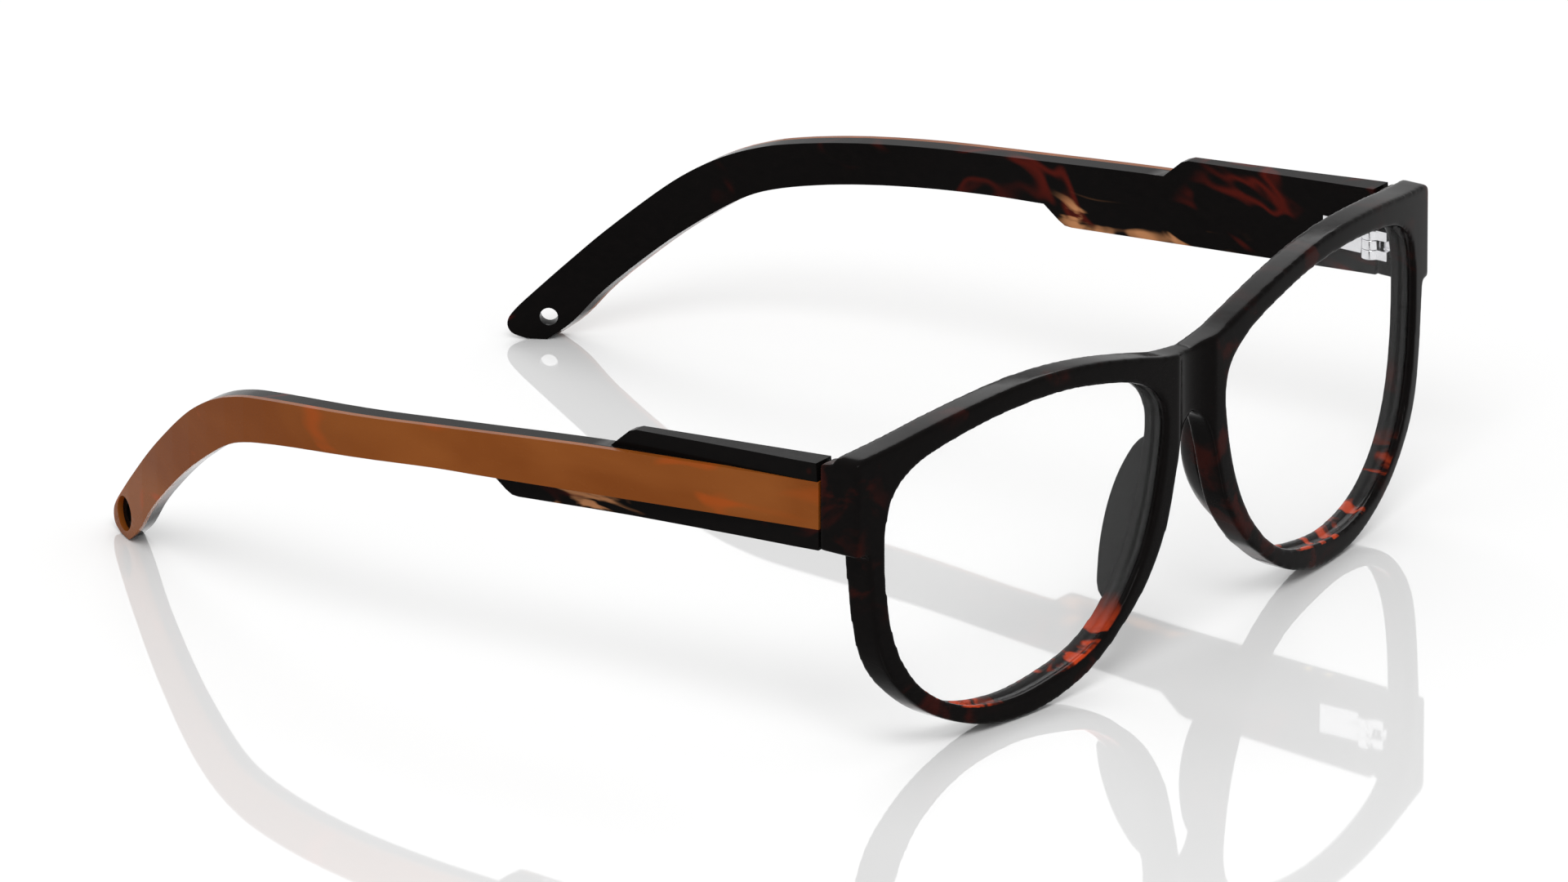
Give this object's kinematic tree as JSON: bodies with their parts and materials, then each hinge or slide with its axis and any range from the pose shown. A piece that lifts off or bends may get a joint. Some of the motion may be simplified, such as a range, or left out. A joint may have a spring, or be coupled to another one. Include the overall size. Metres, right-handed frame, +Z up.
{
  "type": "smart glasses",
  "caption": "Full-rim acetate smart glasses with two folding temples, electronics behind a contrasting cover strip, and a cord hole in each tip.",
  "frame": {"origin": "on the floor under the middle of the bounding box, with the temples open", "axes": "+X to the wearer's left, -Y the way the wearer looks, +Y along the open temples, +Z up"},
  "size_m": [0.1398, 0.1497, 0.0488],
  "materials": {
    "tortoise": "polished dark tortoiseshell acetate",
    "amber": "polished amber brown acetate",
    "lens": "clear, uncoated",
    "hinge_steel": "bright",
    "spring_steel": "drawn",
    "circuit_board": "solder mask",
    "chip_black": "moulded",
    "cell_foil": "pouch foil",
    "speaker_shell": "drawn can",
    "grille_steel": "etched",
    "gold": "gold plated",
    "button_black": "satin",
    "light_pipe": "frosted"
  },
  "bodies": {
    "front": {"front_frame": "tortoise", "nose_pad_left": "tortoise", "nose_pad_right": "tortoise", "lens_left": "lens", "lens_right": "lens", "front_hinge_left": "hinge_steel", "front_hinge_right": "hinge_steel", "hinge_screw_left": "hinge_steel", "hinge_screw_right": "hinge_steel"},
    "temple_left": {"temple_core_left": "tortoise", "temple_strip_left": "amber", "temple_hinge_left": "hinge_steel", "core_wire_left": "spring_steel", "board_left": "circuit_board", "power_chip_left": "chip_black", "battery_left": "cell_foil", "speaker_left": "speaker_shell", "speaker_grille_left": "grille_steel", "charge_contacts_left": "gold", "radio_antenna_left": "gold"},
    "temple_right": {"temple_core_right": "tortoise", "temple_strip_right": "amber", "temple_hinge_right": "hinge_steel", "core_wire_right": "spring_steel", "board_right": "circuit_board", "audio_chip_right": "chip_black", "battery_right": "cell_foil", "speaker_right": "speaker_shell", "speaker_grille_right": "grille_steel", "charge_contacts_right": "gold", "microphone_right": "gold", "button_switch_right": "chip_black", "status_light_right": "light_pipe"},
    "button": {"power_button": "button_black"}
  },
  "joints": [
    {"name": "temple_left_fold", "type": "hinge", "parent": "front", "child": "temple_left", "pos_m": [0.0652, -0.0598, 0.0364], "axis": [0, 0, 1], "range_deg": [0, 83]},
    {"name": "temple_right_fold", "type": "hinge", "parent": "front", "child": "temple_right", "pos_m": [-0.0652, -0.0598, 0.0364], "axis": [0, 0, -1], "range_deg": [0, 60]},
    {"name": "power_press", "type": "slide", "parent": "temple_right", "child": "button", "axis": [0, 0.0698, 0.9976], "range_m": [0, 0.0004], "stiffness_N_per_m": 3000}
  ]
}
